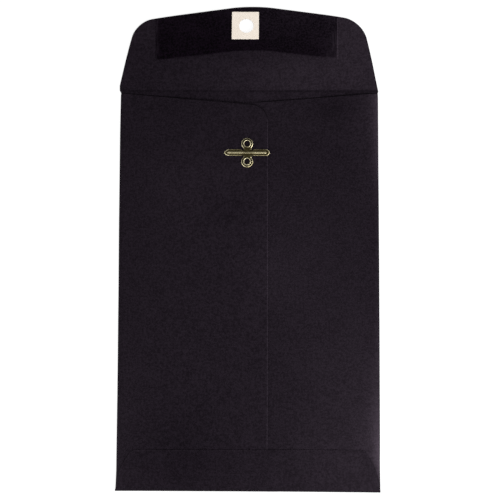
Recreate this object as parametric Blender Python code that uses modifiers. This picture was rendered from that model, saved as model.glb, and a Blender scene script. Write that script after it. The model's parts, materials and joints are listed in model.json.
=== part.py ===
"""Open-end clasp envelope in black paper, lying on its front with the closure flap open.

The real envelope is one die-cut sheet, folded and gummed, with a punched reinforcing patch and
a stamped clasp. Here the sheet is divided at its folds, so that each panel is a solid of its own.
Metres, +Z up. X runs across the envelope and +Y from the pocket towards the closure flap.
"""

import math

import bmesh
import bpy
from mathutils import Matrix, Vector

MM = 0.001

# Sheet and pocket
BODY_WIDTH = 150.8 * MM
BODY_LENGTH = 230.2 * MM
PAPER = 0.17 * MM
POCKET_DEPTH = 0.8 * MM
GUM_FILM = 0.06 * MM
GAP = 0.1 * MM

# Side folds
SIDE_FOLD_WIDTH = 6.0 * MM
SIDE_FOLD_LIP = 1.2 * MM
CREASE_RADIUS = 0.2 * MM

# Back panels and the throat between them
SEAM_EDGE = 11.0 * MM
SEAM_OVERLAP = 23.5 * MM
SEAM_CORNER_RADIUS = 10.0 * MM
THROAT_SIDE_DROP = 0.8 * MM
LEFT_THROAT_ANGLE = math.radians(5.0)
RIGHT_THROAT_ANGLE = math.radians(4.5)

# Bottom flap
BOTTOM_FOLD_LIP = 0.5 * MM
BOTTOM_FLAP_LENGTH = 23.9 * MM
BOTTOM_FLAP_SIDE_INSET = 0.3 * MM
BOTTOM_FLAP_TAPER_START = 9.0 * MM
BOTTOM_FLAP_TAPER_RADIUS = 15.0 * MM
BOTTOM_FLAP_TOP_INSET = 8.7 * MM
BOTTOM_FLAP_CORNER_RADIUS = 5.0 * MM

# Closure flap
FLAP_LENGTH = 49.2 * MM
FLAP_SLOPE = math.radians(7.9)
FLAP_PEAK_RADIUS = 119.0 * MM
FLAP_SHOULDER_HALF_WIDTH = 66.7 * MM
FLAP_SHOULDER_RADIUS = 17.4 * MM
FLAP_SEATING = 0.1 * MM

# Gum lines
SEAM_GUM_MARGIN = 1.0 * MM
SEAM_GUM_TOP_MARGIN = 12.0 * MM
BOTTOM_GUM_MARGIN = 2.5 * MM
CLOSURE_GUM_LEFT = 53.8 * MM
CLOSURE_GUM_RIGHT = 51.6 * MM
CLOSURE_GUM_DEPTH = 24.5 * MM
CLOSURE_GUM_MARGIN = 0.4 * MM

# Patch and clasp hole
FLAP_HOLE_REACH = 37.6 * MM
FLAP_HOLE_X = -1.6 * MM
FLAP_HOLE_RADIUS = 4.2 * MM
PATCH_SIDE = 16.1 * MM
PATCH_THICKNESS = 0.2 * MM

# Clasp
CLASP_REACH = 36.5 * MM
CLASP_X = -1.2 * MM
CLASP_METAL = 0.28 * MM
LOBE_RADIUS = 3.55 * MM
NECK_WIDTH = 4.7 * MM
EYELET_SPACING = 10.4 * MM
EYELET_BORE_RADIUS = 1.35 * MM
EYELET_WALL = 0.2 * MM
EYELET_LIP_WIDTH = 1.0 * MM
EYELET_LIP_HEIGHT = 0.3 * MM
EYELET_CLINCH_WIDTH = 0.9 * MM
PRONG_WIDTH = 4.0 * MM
PRONG_REACH = 13.3 * MM
PRONG_TIP_RADIUS = 1.7 * MM
BEND_OFFSET = 1.6 * MM
BEAD_WIDTH = 1.4 * MM
BEAD_HEIGHT = 0.4 * MM
BEAD_MARGIN = 1.5 * MM

# Smoothness of round stretches
ARC_STEP = math.radians(4.0)
HOLE_POINTS = 32
TURNED_STEPS = 28

# Levels of the layers, from the table upwards
RIGHT_PANEL_Z = PAPER + POCKET_DEPTH
SEAM_GUM_Z = RIGHT_PANEL_Z + PAPER + GAP
LEFT_PANEL_Z = SEAM_GUM_Z + GUM_FILM + GAP
LEFT_PANEL_TOP = LEFT_PANEL_Z + PAPER
BOTTOM_GUM_Z = LEFT_PANEL_TOP + GAP
BOTTOM_FLAP_Z = BOTTOM_GUM_Z + GUM_FILM + GAP
CLASP_MID_Z = LEFT_PANEL_TOP + GAP + CLASP_METAL / 2
CLOSURE_GUM_Z = PAPER + GAP
PATCH_Z = CLOSURE_GUM_Z + GUM_FILM + GAP

# Shared places, with Y measured from the flap's crease
HALF_WIDTH = BODY_WIDTH / 2
CREASE_Y = (BODY_LENGTH - FLAP_LENGTH) / 2
HINGE_Z = (PAPER + LEFT_PANEL_TOP) / 2 + FLAP_SEATING
BOTTOM_FOLD_RADIUS = BOTTOM_FLAP_Z / 2
BOTTOM_FOLD_DEPTH = BOTTOM_FOLD_RADIUS + PAPER / 2 + BOTTOM_FOLD_LIP
PANEL_BOTTOM_Y = -BODY_LENGTH + BOTTOM_FOLD_DEPTH + GAP
EYELET_HOLE_RADIUS = EYELET_BORE_RADIUS + EYELET_WALL + GAP
EYELET_YS = (EYELET_SPACING / 2, -EYELET_SPACING / 2)


for old_object in list(bpy.data.objects):
    bpy.data.objects.remove(old_object, do_unlink=True)

parts = bpy.data.collections.new("clasp_envelope")
cutters = bpy.data.collections.new("clasp_envelope_cutters")
bpy.context.scene.collection.children.link(parts)
bpy.context.scene.collection.children.link(cutters)


def finish(name, colour, roughness, metallic=0.0):
    """Principled material in one colour."""
    material = bpy.data.materials.new(name)
    material.use_nodes = True
    shader = material.node_tree.nodes["Principled BSDF"]
    shader.inputs["Base Color"].default_value = (*colour, 1.0)
    shader.inputs["Roughness"].default_value = roughness
    shader.inputs["Metallic"].default_value = metallic
    return material


black_paper = finish("black_paper", (0.016, 0.012, 0.017), 0.8)
dried_gum = finish("dried_gum", (0.006, 0.004, 0.006), 0.4)
cream_card = finish("cream_card", (0.85, 0.77, 0.68), 0.85)
dull_brass = finish("dull_brass", (0.33, 0.27, 0.13), 0.35, 1.0)


def place(thing, parent, location, collection=parts):
    """Link an object and set it in its parent's frame."""
    collection.objects.link(thing)
    thing.parent = parent
    thing.location = location
    return thing


def datum(name, parent, location, turn=0.0):
    """Empty that carries pieces, turned about Z."""
    empty = place(bpy.data.objects.new(name, None), parent, location)
    empty.rotation_euler.z = turn
    return empty


envelope_datum = datum("crease_datum", None, (0, CREASE_Y, 0))
flap_hinge = datum("flap_hinge", envelope_datum, (0, 0, HINGE_Z))
clasp_datum = datum("clasp_datum", envelope_datum, (CLASP_X, -CLASP_REACH, CLASP_MID_Z))


def rounded_outline(corners):
    """Closed outline through (x, y, radius) corners, with an arc wherever the radius isn't 0."""
    points = []
    for index, (x, y, radius) in enumerate(corners):
        corner = Vector((x, y))
        if not radius:
            points.append(corner)
            continue
        to_last = (Vector(corners[index - 1][:2]) - corner).normalized()
        to_next = (Vector(corners[(index + 1) % len(corners)][:2]) - corner).normalized()
        half_angle = to_last.angle(to_next) / 2
        centre = corner + (to_last + to_next).normalized() * radius / math.sin(half_angle)
        spoke = corner + to_last * radius / math.tan(half_angle) - centre
        turn = math.copysign(math.pi - 2 * half_angle, to_next.cross(to_last))
        steps = max(2, math.ceil(abs(turn) / ARC_STEP))
        for step in range(steps + 1):
            points.append(centre + Matrix.Rotation(turn * step / steps, 2) @ spoke)
    return points


def circle(x, y, radius):
    """Closed round outline."""
    angles = [2 * math.pi * index / HOLE_POINTS for index in range(HOLE_POINTS)]
    return [Vector((x + radius * math.cos(angle), y + radius * math.sin(angle))) for angle in angles]


def outline_curve(name, outlines, thickness):
    """Filled flat curve; outlines inside the first one are holes."""
    curve = bpy.data.curves.new(name, "CURVE")
    curve.dimensions = "2D"
    curve.fill_mode = "BOTH"
    curve.extrude = thickness / 2
    for outline in outlines:
        spline = curve.splines.new("POLY")
        spline.points.add(len(outline) - 1)
        for point, (x, y) in zip(spline.points, outline):
            point.co = (x, y, 0, 1)
        spline.use_cyclic_u = True
    return curve


def flat_piece(name, outlines, low_z, thickness, material, parent=envelope_datum):
    """Flat piece whose underside is at low_z above the table."""
    curve = outline_curve(name, outlines, thickness)
    curve.materials.append(material)
    parent_z = HINGE_Z if parent == flap_hinge else 0
    return place(bpy.data.objects.new(name, curve), parent, (0, 0, low_z + thickness / 2 - parent_z))


def outline_mesh(name, outlines, thickness):
    """Welded mesh of a flat outline, for pieces that are joined or cut."""
    curve = outline_curve(name, outlines, thickness)
    holder = place(bpy.data.objects.new(name, curve), None, (0, 0, 0))
    evaluated = holder.evaluated_get(bpy.context.evaluated_depsgraph_get())
    mesh = bpy.data.meshes.new_from_object(evaluated)
    bpy.data.objects.remove(holder)
    bpy.data.curves.remove(curve)
    welded = bmesh.new()
    welded.from_mesh(mesh)
    bmesh.ops.remove_doubles(welded, verts=welded.verts, dist=0.001 * MM)
    welded.to_mesh(mesh)
    welded.free()
    return mesh


def folded_strip(name, first_edge, sweep, material):
    """Paper strip: a chain of points swept by a function that gives each point's far end."""
    strip = bmesh.new()
    chain = [strip.verts.new(point) for point in first_edge]
    edges = [strip.edges.new(pair) for pair in zip(chain, chain[1:])]
    swept = bmesh.ops.extrude_edge_only(strip, edges=edges)["geom"]
    for vert in swept:
        if isinstance(vert, bmesh.types.BMVert):
            vert.co = sweep(vert.co)
    mesh = bpy.data.meshes.new(name)
    strip.to_mesh(mesh)
    strip.free()
    mesh.materials.append(material)
    piece = place(bpy.data.objects.new(name, mesh), envelope_datum, (0, 0, 0))
    solidify = piece.modifiers.new("paper", "SOLIDIFY")
    solidify.thickness = PAPER
    solidify.offset = 0.0
    solidify.use_even_offset = True
    return piece


def half_turn(centre_x, centre_z, radius):
    """Points of a fold's half circle, from its lower end round the outside to its upper end."""
    steps = 8
    angles = [-math.pi / 2 - math.pi * step / steps for step in range(steps + 1)]
    return [(centre_x + radius * math.cos(a), centre_z + radius * math.sin(a)) for a in angles]


# Front panel, between the lips of the side folds and the bottom fold.
front_half = HALF_WIDTH - SIDE_FOLD_LIP - GAP
front_outline = rounded_outline([
    (-front_half, PANEL_BOTTOM_Y, 0),
    (front_half, PANEL_BOTTOM_Y, 0),
    (front_half, -GAP / 2, 0),
    (-front_half, -GAP / 2, 0),
])
flat_piece("front_panel", [front_outline], 0, PAPER, black_paper)


def throat_y(x, side):
    """Height of a side panel's top edge, which falls from its fold towards the centre."""
    angle = LEFT_THROAT_ANGLE if side < 0 else RIGHT_THROAT_ANGLE
    return -THROAT_SIDE_DROP - (HALF_WIDTH - side * x) * math.tan(angle)


def side_fold(name, side, panel_z):
    """Crease at the pocket's edge, with the paper easing up from it to the back panel's level."""
    rise_steps = 6
    low = PAPER / 2
    crease = half_turn(low + CREASE_RADIUS, low + CREASE_RADIUS, CREASE_RADIUS)
    profile = [(SIDE_FOLD_LIP, low), *crease]
    start_x, start_z = profile[-1]
    for step in range(1, rise_steps + 1):
        share = step / rise_steps
        ease = 1 - (1 - share) ** 2
        x = start_x + (SIDE_FOLD_WIDTH - start_x) * share
        profile.append((x, start_z + (panel_z + low - start_z) * ease))
    chain = [(side * (HALF_WIDTH - x), PANEL_BOTTOM_Y, z) for x, z in profile]
    folded_strip(name, chain, lambda co: (co.x, throat_y(co.x, side), co.z), black_paper)


side_fold("left_side_fold", -1, LEFT_PANEL_Z)
side_fold("right_side_fold", 1, RIGHT_PANEL_Z)


# Back panels: the left one lies over the right one at the centre, and both are punched for the clasp.
def back_panel(name, side, free_edge_x, low_z):
    fold_x = side * (HALF_WIDTH - SIDE_FOLD_WIDTH - GAP)
    corners = [
        (fold_x, PANEL_BOTTOM_Y, 0),
        (free_edge_x, PANEL_BOTTOM_Y, 0),
        (free_edge_x, throat_y(free_edge_x, side), SEAM_CORNER_RADIUS),
        (fold_x, throat_y(fold_x, side), 0),
    ]
    holes = [circle(CLASP_X, y - CLASP_REACH, EYELET_HOLE_RADIUS) for y in EYELET_YS]
    flat_piece(name, [rounded_outline(corners), *holes], low_z, PAPER, black_paper)


back_panel("left_back_panel", -1, SEAM_EDGE, LEFT_PANEL_Z)
back_panel("right_back_panel", 1, SEAM_EDGE - SEAM_OVERLAP, RIGHT_PANEL_Z)

# Gum between the side panels, from beside the clasp's eyelets to just inside the seam's edge.
seam_gum_left = CLASP_X + EYELET_HOLE_RADIUS + SEAM_GUM_MARGIN
seam_gum_right = SEAM_EDGE - SEAM_GUM_MARGIN
seam_gum_top = throat_y(SEAM_EDGE, -1) - SEAM_GUM_TOP_MARGIN
seam_gum_outline = rounded_outline([
    (seam_gum_left, PANEL_BOTTOM_Y + SEAM_GUM_MARGIN, 0),
    (seam_gum_right, PANEL_BOTTOM_Y + SEAM_GUM_MARGIN, 0),
    (seam_gum_right, seam_gum_top, 0),
    (seam_gum_left, seam_gum_top, 0),
])
flat_piece("seam_gum", [seam_gum_outline], SEAM_GUM_Z, GUM_FILM, dried_gum)

# Bottom fold: a half turn from the front panel up to the bottom flap, over the side panels' ends.
bottom_fold_z = PAPER / 2 + BOTTOM_FOLD_RADIUS
bottom_profile = [
    (BOTTOM_FOLD_DEPTH, PAPER / 2),
    *half_turn(BOTTOM_FOLD_RADIUS + PAPER / 2, bottom_fold_z, BOTTOM_FOLD_RADIUS),
    (BOTTOM_FOLD_DEPTH, PAPER / 2 + 2 * BOTTOM_FOLD_RADIUS),
]
bottom_chain = [(-HALF_WIDTH, y - BODY_LENGTH, z) for y, z in bottom_profile]
folded_strip("bottom_fold", bottom_chain, lambda co: (HALF_WIDTH, co.y, co.z), black_paper)


def bottom_flap_outline(margin):
    """Outline of the bottom flap, drawn in by a margin."""
    half_low = HALF_WIDTH - BOTTOM_FLAP_SIDE_INSET - margin
    half_top = HALF_WIDTH - BOTTOM_FLAP_TOP_INSET - margin
    low_y = PANEL_BOTTOM_Y + margin
    taper_y = BOTTOM_FLAP_TAPER_START - BODY_LENGTH
    top_y = BOTTOM_FLAP_LENGTH - BODY_LENGTH - margin
    return rounded_outline([
        (-half_low, low_y, 0),
        (half_low, low_y, 0),
        (half_low, taper_y, BOTTOM_FLAP_TAPER_RADIUS),
        (half_top, top_y, BOTTOM_FLAP_CORNER_RADIUS),
        (-half_top, top_y, BOTTOM_FLAP_CORNER_RADIUS),
        (-half_low, taper_y, BOTTOM_FLAP_TAPER_RADIUS),
    ])


flat_piece("bottom_gum", [bottom_flap_outline(BOTTOM_GUM_MARGIN)], BOTTOM_GUM_Z, GUM_FILM, dried_gum)
flat_piece("bottom_flap", [bottom_flap_outline(0)], BOTTOM_FLAP_Z, PAPER, black_paper)

# Closure flap: tapered sides, round shoulders and a low gable, punched for the clasp.
gable_corner_y = FLAP_LENGTH + FLAP_PEAK_RADIUS * (1 / math.cos(FLAP_SLOPE) - 1)
flap_hole = circle(FLAP_HOLE_X, FLAP_HOLE_REACH, FLAP_HOLE_RADIUS)


def gable_y(x):
    """Height of the flap's top edge over the crease, before its peak is rounded."""
    return gable_corner_y - abs(x) * math.tan(FLAP_SLOPE)


shoulder_y = gable_y(FLAP_SHOULDER_HALF_WIDTH)
flap_outline = rounded_outline([
    (-HALF_WIDTH, GAP / 2, 0),
    (HALF_WIDTH, GAP / 2, 0),
    (FLAP_SHOULDER_HALF_WIDTH, shoulder_y, FLAP_SHOULDER_RADIUS),
    (0, gable_corner_y, FLAP_PEAK_RADIUS),
    (-FLAP_SHOULDER_HALF_WIDTH, shoulder_y, FLAP_SHOULDER_RADIUS),
])
flat_piece("closure_flap", [flap_outline, flap_hole], 0, PAPER, black_paper, flap_hinge)

# Gum strip along the flap's top edge, between two square ends.
gum_low = CLOSURE_GUM_DEPTH + CLOSURE_GUM_MARGIN
gum_outline = rounded_outline([
    (-CLOSURE_GUM_LEFT, gable_y(CLOSURE_GUM_LEFT) - gum_low, 0),
    (0, gable_corner_y - gum_low, FLAP_PEAK_RADIUS),
    (CLOSURE_GUM_RIGHT, gable_y(CLOSURE_GUM_RIGHT) - gum_low, 0),
    (CLOSURE_GUM_RIGHT, gable_y(CLOSURE_GUM_RIGHT) - CLOSURE_GUM_MARGIN, 0),
    (0, gable_corner_y - CLOSURE_GUM_MARGIN, FLAP_PEAK_RADIUS),
    (-CLOSURE_GUM_LEFT, gable_y(CLOSURE_GUM_LEFT) - CLOSURE_GUM_MARGIN, 0),
])
flat_piece("closure_gum", [gum_outline, flap_hole], CLOSURE_GUM_Z, GUM_FILM, dried_gum, flap_hinge)

# Reinforcing patch, punched together with the flap.
patch_left = FLAP_HOLE_X - PATCH_SIDE / 2
patch_right = FLAP_HOLE_X + PATCH_SIDE / 2
patch_low = FLAP_HOLE_REACH - PATCH_SIDE / 2
patch_high = FLAP_HOLE_REACH + PATCH_SIDE / 2
patch_outline = rounded_outline([
    (patch_left, patch_low, 0),
    (patch_right, patch_low, 0),
    (patch_right, patch_high, 0),
    (patch_left, patch_high, 0),
])
flat_piece("flap_patch", [patch_outline, flap_hole], PATCH_Z, PATCH_THICKNESS, cream_card, flap_hinge)


def mesh_piece(name, mesh, parent, location, collection=parts):
    """Object on a mesh, as a piece or, in the cutters' collection, as a tool for one."""
    piece = place(bpy.data.objects.new(name, mesh), parent, location, collection)
    if collection == cutters:
        piece.hide_render = True
        piece.display_type = "WIRE"
    return piece


def combine(piece, tool, operation):
    """Boolean of a piece with a tool."""
    boolean = piece.modifiers.new(tool.name, "BOOLEAN")
    boolean.operation = operation
    boolean.object = tool


def rounded_bar(name, first_x, last_x, radius, axis_z, floor_z=None):
    """Round-ended bar along X between two end centres, cut off flat at floor_z if one is given."""
    bar = bmesh.new()
    turn = Matrix.Rotation(math.pi / 2, 4, "Y")
    bmesh.ops.create_uvsphere(bar, u_segments=20, v_segments=9, radius=radius, matrix=turn)
    for vert in bar.verts:
        vert.co.x += first_x if vert.co.x < 0 else last_x
        vert.co.z += axis_z
    if floor_z is not None:
        everything = bar.verts[:] + bar.edges[:] + bar.faces[:]
        bmesh.ops.bisect_plane(
            bar, geom=everything, plane_co=(0, 0, floor_z), plane_no=(0, 0, -1), clear_outer=True
        )
        bmesh.ops.holes_fill(bar, edges=[edge for edge in bar.edges if edge.is_boundary])
    mesh = bpy.data.meshes.new(name)
    bar.to_mesh(mesh)
    bar.free()
    return mesh


# Clasp base: two lobes on a neck, narrowed at the middle where the prongs bend up.
def clasp_base_outline():
    waist = BEND_OFFSET - CLASP_METAL / 2 - GAP
    neck = NECK_WIDTH / 2
    relief = PRONG_WIDTH / 2 + GAP
    root_angle = math.asin(neck / LOBE_RADIUS)
    sweep = 2 * (math.pi - root_angle)
    steps = math.ceil(sweep / (2 * ARC_STEP))
    shoulder = relief + GAP
    half = [Vector((waist, -relief)), Vector((waist, relief)), Vector((neck, shoulder))]
    for step in range(steps + 1):
        angle = root_angle - math.pi / 2 + sweep * step / steps
        y = EYELET_SPACING / 2 + LOBE_RADIUS * math.sin(angle)
        half.append(Vector((LOBE_RADIUS * math.cos(angle), y)))
    half.append(Vector((-neck, shoulder)))
    return half + [-point for point in half]


def eyelet_profile():
    """Section of a drawn eyelet: rolled lip on top, barrel down the bore, clinched flange below."""
    arc_steps = 4
    sunk = CLASP_METAL / 10
    lip_z = CLASP_METAL / 2 - sunk
    lip_half = EYELET_LIP_WIDTH / 2
    lip_middle = EYELET_BORE_RADIUS + lip_half
    lip = []
    for step in range(2 * arc_steps + 1):
        angle = math.pi * (1 - step / (2 * arc_steps))
        z = lip_z + (EYELET_LIP_HEIGHT + sunk) * math.sin(angle)
        lip.append((lip_middle + lip_half * math.cos(angle), z))
    barrel = EYELET_BORE_RADIUS + EYELET_WALL
    clinch = barrel + EYELET_CLINCH_WIDTH
    clinch_z = RIGHT_PANEL_Z - GAP - CLASP_MID_Z
    below = [
        (EYELET_BORE_RADIUS + EYELET_LIP_WIDTH, 0),
        (barrel, 0),
        (barrel, clinch_z),
        (clinch, clinch_z),
        (clinch, clinch_z - EYELET_WALL),
        (EYELET_BORE_RADIUS, clinch_z - EYELET_WALL),
    ]
    return lip[arc_steps:] + below + lip[:arc_steps]


def turned_ring(name, profile):
    """Closed section turned about Z."""
    ring = bmesh.new()
    section = [ring.verts.new((radius, 0, z)) for radius, z in profile]
    for index, vert in enumerate(section):
        ring.edges.new((section[index - 1], vert))
    mesh = bpy.data.meshes.new(name)
    ring.to_mesh(mesh)
    ring.free()
    return mesh


base_holes = [circle(0, y, EYELET_BORE_RADIUS + EYELET_WALL / 2) for y in EYELET_YS]
base_mesh = outline_mesh("clasp_base", [clasp_base_outline(), *base_holes], CLASP_METAL)
clasp_base = mesh_piece("clasp_base", base_mesh, clasp_datum, (0, 0, 0))
eyelet_mesh = turned_ring("clasp_eyelet", eyelet_profile())
for index, y in enumerate(EYELET_YS):
    eyelet = mesh_piece(f"clasp_eyelet_{index + 1}", eyelet_mesh, clasp_datum, (0, y, 0), cutters)
    screw = eyelet.modifiers.new("turn", "SCREW")
    screw.steps = TURNED_STEPS
    screw.render_steps = TURNED_STEPS
    screw.use_merge_vertices = True
    screw.merge_threshold = 0.001 * MM
    combine(clasp_base, eyelet, "UNION")

# Prongs: flat bars with a stamped bead, hollow underneath, that bend up about their roots.
prong_length = PRONG_REACH - BEND_OFFSET
prong_outline = rounded_outline([
    (0, -PRONG_WIDTH / 2, 0),
    (prong_length, -PRONG_WIDTH / 2, PRONG_TIP_RADIUS),
    (prong_length, PRONG_WIDTH / 2, PRONG_TIP_RADIUS),
    (0, PRONG_WIDTH / 2, 0),
])
prong_mesh = outline_mesh("prong", [prong_outline], CLASP_METAL)
bead_radius = ((BEAD_WIDTH / 2) ** 2 + BEAD_HEIGHT ** 2) / (2 * BEAD_HEIGHT)
bead_axis_z = CLASP_METAL / 2 + BEAD_HEIGHT - bead_radius
bead_first = CLASP_METAL + GAP + BEAD_WIDTH / 2
bead_last = prong_length - BEAD_MARGIN - BEAD_WIDTH / 2
bead_mesh = rounded_bar("prong_bead", bead_first, bead_last, bead_radius, bead_axis_z, 0)
hollow_radius = bead_radius - CLASP_METAL
hollow_mesh = rounded_bar("prong_hollow", bead_first, bead_last, hollow_radius, bead_axis_z)
for side_name, offset, turn in (("left", -BEND_OFFSET, math.pi), ("right", BEND_OFFSET, 0.0)):
    bend = datum(f"{side_name}_prong_bend", clasp_datum, (offset, 0, 0), turn)
    prong = mesh_piece(f"{side_name}_prong", prong_mesh, bend, (0, 0, 0))
    bead = mesh_piece(f"{side_name}_bead", bead_mesh, bend, (0, 0, 0), cutters)
    hollow = mesh_piece(f"{side_name}_hollow", hollow_mesh, bend, (0, 0, 0), cutters)
    combine(prong, bead, "UNION")
    combine(prong, hollow, "DIFFERENCE")

for mesh in (base_mesh, prong_mesh):
    mesh.materials.append(dull_brass)
    mesh.shade_smooth()
    mesh.set_sharp_from_angle(angle=math.radians(30))
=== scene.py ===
"""Black paper clasp envelope, seen from its back, lying open on a white table.

The CAD frame gives every place. Sizes below are in millimetres in the frame's own axes: X runs
across the envelope, +Y from the pocket to the closure flap and +Z up from the table.
"""

import json
import math

import bmesh
import bpy
from mathutils import Matrix, Vector


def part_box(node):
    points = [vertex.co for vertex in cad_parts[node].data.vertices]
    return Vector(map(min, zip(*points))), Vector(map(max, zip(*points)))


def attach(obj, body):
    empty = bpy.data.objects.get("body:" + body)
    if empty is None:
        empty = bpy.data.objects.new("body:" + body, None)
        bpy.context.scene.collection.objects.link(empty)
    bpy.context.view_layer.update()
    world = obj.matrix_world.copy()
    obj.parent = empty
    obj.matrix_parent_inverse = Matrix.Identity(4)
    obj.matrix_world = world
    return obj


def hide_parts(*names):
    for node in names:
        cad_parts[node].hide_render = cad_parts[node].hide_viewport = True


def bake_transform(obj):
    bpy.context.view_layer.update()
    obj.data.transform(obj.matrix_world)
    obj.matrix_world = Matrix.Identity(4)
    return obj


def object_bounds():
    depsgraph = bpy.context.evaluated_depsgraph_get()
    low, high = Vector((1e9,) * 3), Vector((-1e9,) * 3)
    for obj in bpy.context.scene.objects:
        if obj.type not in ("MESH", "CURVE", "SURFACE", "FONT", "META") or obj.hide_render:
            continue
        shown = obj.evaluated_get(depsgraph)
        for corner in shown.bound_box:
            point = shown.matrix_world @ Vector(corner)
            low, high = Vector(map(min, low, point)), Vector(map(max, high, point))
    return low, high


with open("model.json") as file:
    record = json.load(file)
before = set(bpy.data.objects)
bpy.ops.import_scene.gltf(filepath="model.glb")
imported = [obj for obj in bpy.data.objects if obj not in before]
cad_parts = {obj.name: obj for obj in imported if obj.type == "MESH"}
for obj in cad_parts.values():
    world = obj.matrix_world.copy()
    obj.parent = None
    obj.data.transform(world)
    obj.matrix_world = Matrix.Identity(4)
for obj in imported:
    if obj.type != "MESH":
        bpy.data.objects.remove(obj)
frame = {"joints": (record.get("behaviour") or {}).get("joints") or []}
cad_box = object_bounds()


# Front panel and closure flap
# One run of black paper, 0.17 mm thick and dyed right through. It is die-cut, scored across at
# the crease and punched for the clasp. The panel lies on the table, lifted a little where the
# clasp's clinched eyelets press on it, and the flap lies open above it.
MM = 0.001
TOUCHING = 1e-7
PAPER = 0.17
HALF_WIDTH = cad_box[1].x / MM
BOTTOM_Y = cad_box[0].y / MM
FLAP_HINGE = next(joint for joint in frame["joints"] if joint["name"] == "flap_hinge")
CREASE_Y = FLAP_HINGE["pos_m"][1] / MM
SIDE_LIP, BOTTOM_LIP = 1.2, 1.5
LEFT_DROP, RIGHT_DROP = 1.25, 0.95
FLAP_PEAK = (1.5, CREASE_Y + 50.68)
FLAP_PEAK_SETBACK = 12.0
FLAP_OUTLINE = (
    (75.15, CREASE_Y, 0),
    (70.6, CREASE_Y + 22.3, 8),
    (65.9, CREASE_Y + 41.45, 10.5),
    (50.5, CREASE_Y + 44.35, 8),
    (*FLAP_PEAK, FLAP_PEAK_SETBACK),
    (-49.5, CREASE_Y + 43.7, 8),
    (-66.6, CREASE_Y + 40.7, 9.4),
    (-71.6, CREASE_Y + 21.9, 8),
    (-75.9, CREASE_Y + 2.9, 0),
    (-75.85, CREASE_Y, 0),
)
FLAP_CURL, FLAP_WAVE = 0.5, 0.25
SCORE_STEP, SCORE_WIDTH, SCORE_FADE = 0.2, 0.45, 7
HOLE_CENTRE = (-2.0, CREASE_Y + 38.4)
HOLE_RADIUS = 4.22
HOLE_SQUARE = 5.6
CLASP_X, CLASP_Y = -0.95, 54.0
EYELET_X = CLASP_X - 0.2
EYELET_OFFSET = 5.2
CLASP_LIFT = 0.42
# Painted light on the paper seen down the eyelets' bores.
BORE_PAINTED_LIGHT = 2.2
# Places along Y, and how far the folded sides wander to the right there.
LEFT_TRIM = (
    (-140, -0.35), (-137, 0.05), (-128, 0.28), (-76, 0.38),
    (-30, 0.28), (16, 0.09), (62, 0.06), (88, 0.22),
)
RIGHT_TRIM = (
    (-140, 0.22), (-125, 0.05), (-110, 0.12), (-60, 0.08),
    (-10, -0.02), (16, -0.12), (50, -0.28), (88, -0.39),
)
FOOT_FLARE, CORNER_FLARE, FLARE_LENGTH = 0.35, 0.2, 14
PAPER_TONES = ((0.0056, 0.0037, 0.0060), (0.0128, 0.0091, 0.0138))
# Paper tones where sheen and light are painted on, and the tone of painted shade.
PAINTED_LIGHT_TONES = ((0.0170, 0.0121, 0.0175), (0.0308, 0.0231, 0.0318))
PAINTED_SHADE_TONE = (0.0010, 0.0004, 0.0012)
CUT_EDGE_TONES = ((0.014, 0.011, 0.0145), (0.032, 0.027, 0.032))
PAPER_ROUGHNESS = 0.62
PAPER_TOOTH = 0.5
FIBRE_DEPTH = 0.03
SHARP_ANGLE = math.radians(40)


class Shade:
    """Output socket of a material's node that takes part in Python arithmetic."""

    def __init__(self, tree, socket=None):
        self.tree = tree
        self.socket = socket

    def node(self, kind, settings, inputs, output=0):
        """Adds a node, sets it up, then fills or links its sockets."""
        made = self.tree.nodes.new(kind)
        for name, value in settings.items():
            if name == "stops":
                ramp = made.color_ramp
                while len(ramp.elements) < len(value):
                    ramp.elements.new(0.5)
                for element, (place, colour) in zip(ramp.elements, value):
                    element.position = place
                    element.color = (*colour, 1.0)
            else:
                setattr(made, name, value)
        feed(made, inputs)
        return Shade(self.tree, made.outputs[output])

    def math(self, operation, first, second):
        """One step of arithmetic."""
        return self.node("ShaderNodeMath", {"operation": operation}, {0: first, 1: second})

    def __add__(self, other):
        return self.math("ADD", self, other)

    def __radd__(self, other):
        return self.math("ADD", other, self)

    def __sub__(self, other):
        return self.math("SUBTRACT", self, other)

    def __rsub__(self, other):
        return self.math("SUBTRACT", other, self)

    def __mul__(self, other):
        return self.math("MULTIPLY", self, other)

    def __rmul__(self, other):
        return self.math("MULTIPLY", other, self)

    def clear(self, low, high):
        """0 below low, 1 above high and a smooth step between."""
        inputs = {"Value": self, "From Min": low, "From Max": high}
        return self.node("ShaderNodeMapRange", {"interpolation_type": "SMOOTHSTEP"}, inputs)

    def blend(self, first, second):
        """Colour from the first to the second as this value goes from 0 to 1, and on past it."""
        settings = {"data_type": "RGBA", "clamp_factor": False}
        return self.node("ShaderNodeMix", settings, {0: self, 6: first, 7: second}, 2)


def feed(node, inputs):
    """Links a node's sockets to shades, or sets them to plain values and colours."""
    for name, value in inputs.items():
        socket = node.inputs[name]
        if isinstance(value, Shade):
            value.tree.links.new(value.socket, socket)
        elif socket.type == "RGBA":
            socket.default_value = (*value, 1.0)
        else:
            socket.default_value = value


def new_finish(name):
    """Empty material, its principled shader and the place of a point on the piece."""
    material = bpy.data.materials.new(name)
    material.use_nodes = True
    shader = material.node_tree.nodes["Principled BSDF"]
    place = Shade(material.node_tree).node("ShaderNodeTexCoord", {}, {}, "Object")
    return material, shader, place


def carried(place, name):
    """Value that the piece's own points carry under a name."""
    return place.node("ShaderNodeAttribute", {"attribute_name": name}, {}, "Fac")


def grain(place, scale, detail, stretch=(1.0, 1.0, 1.0)):
    """Noise of about one feature per 1/scale metres, drawn out along an axis if asked."""
    stretched = place.node("ShaderNodeMapping", {}, {"Vector": place, "Scale": stretch})
    inputs = {"Vector": stretched, "Scale": scale, "Detail": detail, "Roughness": 0.6}
    return place.node("ShaderNodeTexNoise", {}, inputs, "Fac")


def relief(height, strength, depth):
    """Bump of a depth in millimetres."""
    inputs = {"Strength": strength, "Distance": depth * MM, "Height": height}
    return height.node("ShaderNodeBump", {}, inputs)


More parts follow.
